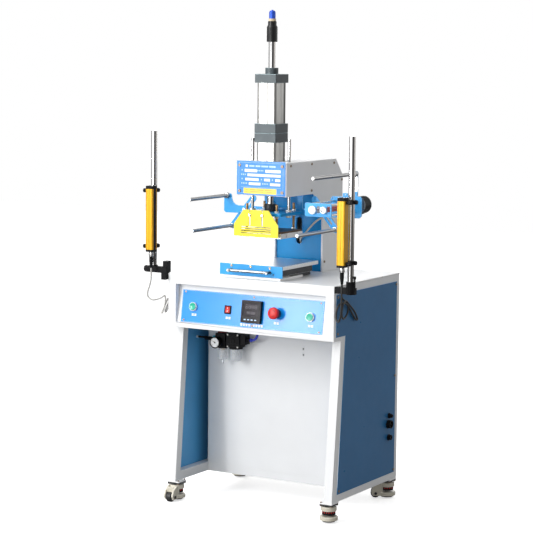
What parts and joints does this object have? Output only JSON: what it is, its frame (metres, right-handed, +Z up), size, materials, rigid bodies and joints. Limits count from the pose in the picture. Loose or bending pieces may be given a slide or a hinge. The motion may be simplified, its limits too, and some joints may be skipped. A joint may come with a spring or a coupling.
{
  "type": "hot foil stamper",
  "caption": "Pneumatic hot foil stamper: overhead ram, guided heating plate, foil bars and feed rollers, sliding worktable, light curtain, tilted console, steel stand with levelling casters.",
  "frame": {"origin": "on the worktable surface, on the ram axis", "axes": "+Z up along the ram, +X to the operator's right, +Y to the rear"},
  "size_m": [0.7835, 0.5443, 1.611],
  "materials": {
    "white_paint": "textured powder coat",
    "blue_paint": "satin powder coat",
    "blue_panel": "printed satin overlay on steel sheet",
    "light_blue": "gloss printed plate",
    "slate_paint": "hard anodised dark slate",
    "yellow_paint": "gloss powder coat",
    "yellow_anodised": "anodised extrusion",
    "cream_paint": "satin paint",
    "zinc": "bright zinc plate",
    "steel": "machined steel",
    "dark_steel": "black oxide",
    "black_oxide": "polished black oxide",
    "chrome": "hard chrome",
    "aluminium": "clear anodised",
    "bronze_zinc": "yellow zinc plated thread",
    "insulation": "laminated mica board",
    "black_plastic": "fine moulded texture",
    "white_plastic": "gloss moulded",
    "green_plastic": "gloss moulded",
    "red_plastic": "gloss moulded",
    "red_rubber": "ground rubber",
    "clear_bowl": "clear polycarbonate",
    "hose": "extruded polyurethane",
    "wheel": "moulded nylon tread"
  },
  "bodies": {
    "machine": {"stand_frame": "white_paint", "side_panels": "blue_paint", "cabinet_panels": "white_paint", "console_frame": "white_paint", "control_panel": "blue_panel", "screws": "zinc", "temperature_controller": "black_plastic", "switch_bodies": "white_plastic", "side_sockets": "black_plastic", "caster_plates": "dark_steel", "press_cheeks": "white_paint", "column_plate": "blue_paint", "head_cover": "white_paint", "name_plate": "light_blue", "head_block": "steel", "cylinder_caps": "slate_paint", "cylinder_barrels": "aluminium", "foil_bracket": "blue_paint", "foil_spindles": "chrome", "gear_motor": "dark_steel", "curtain_posts": "chrome", "curtain_brackets": "black_plastic", "air_service_unit": "black_plastic", "air_bowls": "clear_bowl", "hoses_and_cables": "hose", "worktable_base": "dark_steel", "control_gear": "white_plastic"},
    "press": {"piston_rod": "chrome", "guide_rods": "chrome", "press_plate": "blue_paint", "levelling_studs": "bronze_zinc", "insulation_plate": "insulation", "heating_plate": "aluminium"},
    "stroke_nut": {"stroke_nut": "black_oxide"},
    "guard": {"front_guard": "yellow_paint"},
    "worktable": {"worktable_plate": "aluminium", "worktable_front": "blue_paint"},
    "start_left": {"start_button_left": "green_plastic"},
    "start_right": {"start_button_right": "green_plastic"},
    "emergency_stop": {"emergency_stop": "red_plastic"},
    "rocker": {"rocker_switch": "red_plastic"},
    "foil_arm_left": {"foil_arm_left": "blue_paint"},
    "foil_arm_right": {"foil_arm_right": "blue_paint"},
    "drive_roller": {"drive_roller": "red_rubber"},
    "idler_roller": {"idler_roller": "aluminium"},
    "curtain_left": {"light_curtain_left": "yellow_anodised"},
    "curtain_right": {"light_curtain_right": "yellow_anodised"},
    "regulator": {"regulator_knob": "black_plastic"},
    "caster_fl": {"caster_fl_housing": "cream_paint"},
    "caster_fl_wheel": {"caster_fl_wheel": "wheel"},
    "caster_fl_foot": {"caster_fl_foot": "red_plastic"},
    "caster_fr": {"caster_fr_housing": "cream_paint"},
    "caster_fr_wheel": {"caster_fr_wheel": "wheel"},
    "caster_fr_foot": {"caster_fr_foot": "red_plastic"},
    "caster_rl": {"caster_rl_housing": "cream_paint"},
    "caster_rl_wheel": {"caster_rl_wheel": "wheel"},
    "caster_rl_foot": {"caster_rl_foot": "red_plastic"},
    "caster_rr": {"caster_rr_housing": "cream_paint"},
    "caster_rr_wheel": {"caster_rr_wheel": "wheel"},
    "caster_rr_foot": {"caster_rr_foot": "red_plastic"}
  },
  "joints": [
    {"name": "press_stroke", "type": "slide", "parent": "machine", "child": "press", "axis": [0, 0, -1], "range_m": [0, 0.08]},
    {"name": "stroke_nut_turn", "type": "hinge", "parent": "press", "child": "stroke_nut", "pos_m": [0, 0, 0.739], "axis": [0, 0, 1], "continuous": true},
    {"name": "guard_height", "type": "slide", "parent": "press", "child": "guard", "axis": [0, 0, 1], "range_m": [0, 0.03]},
    {"name": "worktable_slide", "type": "slide", "parent": "machine", "child": "worktable", "axis": [0, -1, 0], "range_m": [0, 0.12]},
    {"name": "start_left_push", "type": "slide", "parent": "machine", "child": "start_left", "axis": [0, 0.9884, -0.1521], "range_m": [0, 0.003], "stiffness_N_per_m": 300},
    {"name": "start_right_push", "type": "slide", "parent": "machine", "child": "start_right", "axis": [0, 0.9884, -0.1521], "range_m": [0, 0.003], "stiffness_N_per_m": 300},
    {"name": "emergency_stop_push", "type": "slide", "parent": "machine", "child": "emergency_stop", "axis": [0, 0.9884, -0.1521], "range_m": [0, 0.004]},
    {"name": "rocker_tilt", "type": "hinge", "parent": "machine", "child": "rocker", "pos_m": [-0.087, -0.11615, -0.15199], "axis": [1, 0, 0], "range_deg": [0, 14]},
    {"name": "foil_arm_left_adjust", "type": "slide", "parent": "machine", "child": "foil_arm_left", "axis": [-0.6391, 0, -0.7691], "range_m": [-0.022, 0.036]},
    {"name": "foil_arm_right_adjust", "type": "slide", "parent": "machine", "child": "foil_arm_right", "axis": [0.6391, 0, -0.7691], "range_m": [-0.015, 0.036]},
    {"name": "drive_roller_spin", "type": "hinge", "parent": "machine", "child": "drive_roller", "pos_m": [0.241, 0, 0.184], "axis": [0, 1, 0], "continuous": true},
    {"name": "idler_roller_spin", "type": "hinge", "parent": "machine", "child": "idler_roller", "pos_m": [0.202, 0, 0.183], "axis": [0, 1, 0], "continuous": true},
    {"name": "curtain_left_height", "type": "slide", "parent": "machine", "child": "curtain_left", "axis": [0, 0, 1], "range_m": [-0.02, 0.1]},
    {"name": "curtain_right_height", "type": "slide", "parent": "machine", "child": "curtain_right", "axis": [0, 0, 1], "range_m": [-0.02, 0.1]},
    {"name": "regulator_turn", "type": "hinge", "parent": "machine", "child": "regulator", "pos_m": [-0.199, 0.035, -0.242], "axis": [0, 0, 1], "range_deg": [-360, 360]},
    {"name": "caster_fl_swivel", "type": "hinge", "parent": "machine", "child": "caster_fl", "pos_m": [-0.287, -0.107, -0.768], "axis": [0, 0, 1], "continuous": true},
    {"name": "caster_fl_wheel_spin", "type": "hinge", "parent": "caster_fl", "child": "caster_fl_wheel", "pos_m": [-0.287, -0.145, -0.787], "axis": [1, 0, 0], "continuous": true},
    {"name": "caster_fl_foot_level", "type": "slide", "parent": "caster_fl", "child": "caster_fl_foot", "axis": [0, 0, -1], "range_m": [0, 0.005]},
    {"name": "caster_fr_swivel", "type": "hinge", "parent": "machine", "child": "caster_fr", "pos_m": [0.287, -0.107, -0.768], "axis": [0, 0, 1], "continuous": true},
    {"name": "caster_fr_wheel_spin", "type": "hinge", "parent": "caster_fr", "child": "caster_fr_wheel", "pos_m": [0.268, -0.07409, -0.787], "axis": [-0.866, -0.5, 0], "continuous": true},
    {"name": "caster_fr_foot_level", "type": "slide", "parent": "caster_fr", "child": "caster_fr_foot", "axis": [0, 0, -1], "range_m": [0, 0.005]},
    {"name": "caster_rl_swivel", "type": "hinge", "parent": "machine", "child": "caster_rl", "pos_m": [-0.287, 0.297, -0.768], "axis": [0, 0, 1], "continuous": true},
    {"name": "caster_rl_wheel_spin", "type": "hinge", "parent": "caster_rl", "child": "caster_rl_wheel", "pos_m": [-0.2936, 0.33442, -0.787], "axis": [-0.9848, -0.1736, 0], "continuous": true},
    {"name": "caster_rl_foot_level", "type": "slide", "parent": "caster_rl", "child": "caster_rl_foot", "axis": [0, 0, -1], "range_m": [0, 0.005]},
    {"name": "caster_rr_swivel", "type": "hinge", "parent": "machine", "child": "caster_rr", "pos_m": [0.287, 0.297, -0.768], "axis": [0, 0, 1], "continuous": true},
    {"name": "caster_rr_wheel_spin", "type": "hinge", "parent": "caster_rr", "child": "caster_rr_wheel", "pos_m": [0.25409, 0.278, -0.787], "axis": [0.5, -0.866, 0], "continuous": true},
    {"name": "caster_rr_foot_level", "type": "slide", "parent": "caster_rr", "child": "caster_rr_foot", "axis": [0, 0, -1], "range_m": [0, 0.005]}
  ]
}
